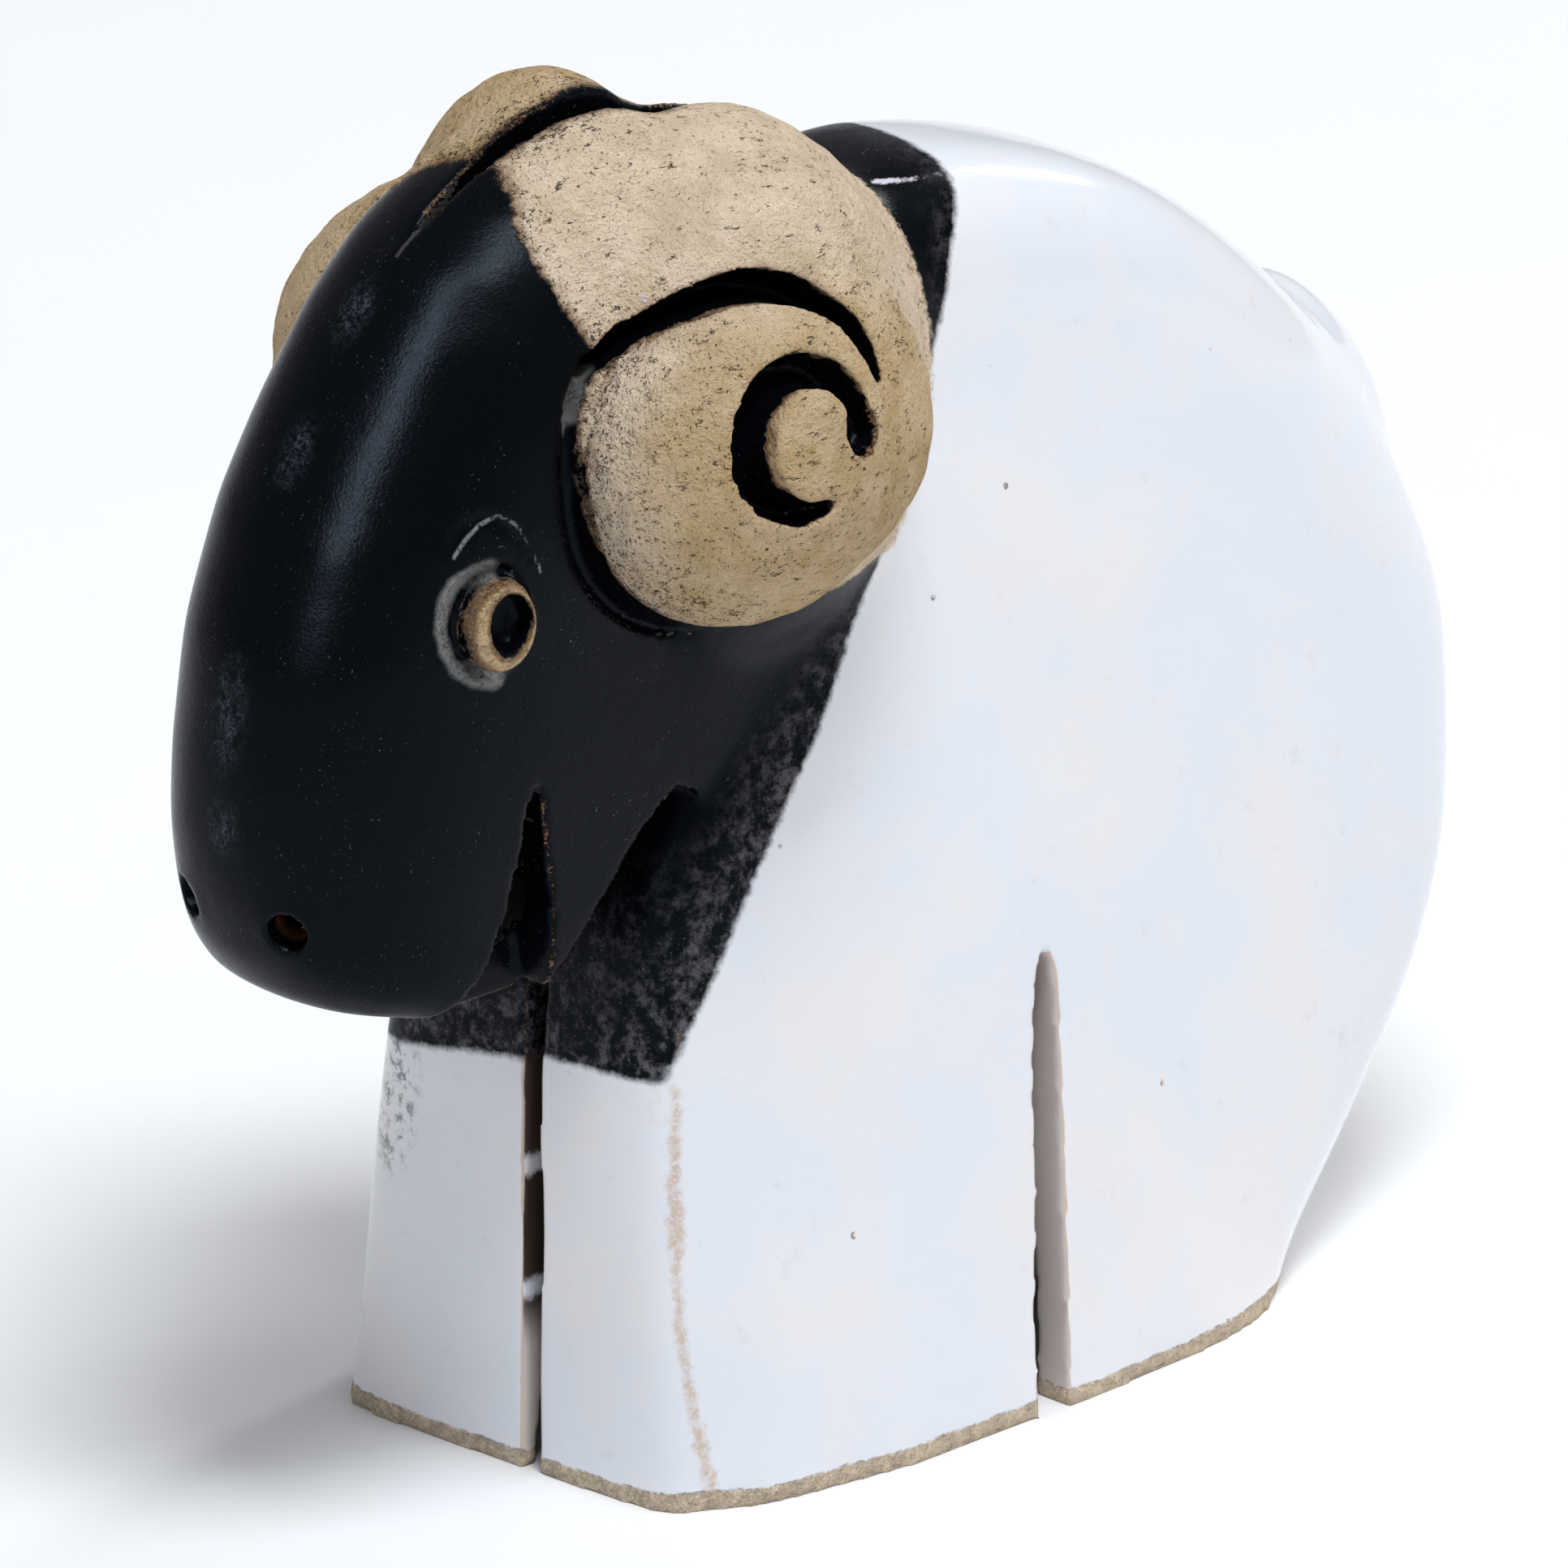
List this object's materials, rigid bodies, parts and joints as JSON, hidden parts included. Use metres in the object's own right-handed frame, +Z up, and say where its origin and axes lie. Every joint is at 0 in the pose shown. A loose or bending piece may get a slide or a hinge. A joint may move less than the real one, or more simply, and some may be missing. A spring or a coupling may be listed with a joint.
{
  "type": "ram figurine",
  "caption": "Hollow glazed stoneware ram that stands on its open foot rim, with a dark head, coiled bare-clay horns and slots that part its legs.",
  "frame": {"origin": "on the floor, under the middle of the figure's bounding box", "axes": "-X the way the ram faces, +Z up, the ram's left side towards -Y"},
  "size_m": [0.2001, 0.089, 0.1768],
  "materials": {
    "stoneware": "glazed stoneware: glossy white body, satin black head, bare tan horns"
  },
  "bodies": {
    "root": {"ram_figurine": "stoneware"}
  },
  "joints": []
}
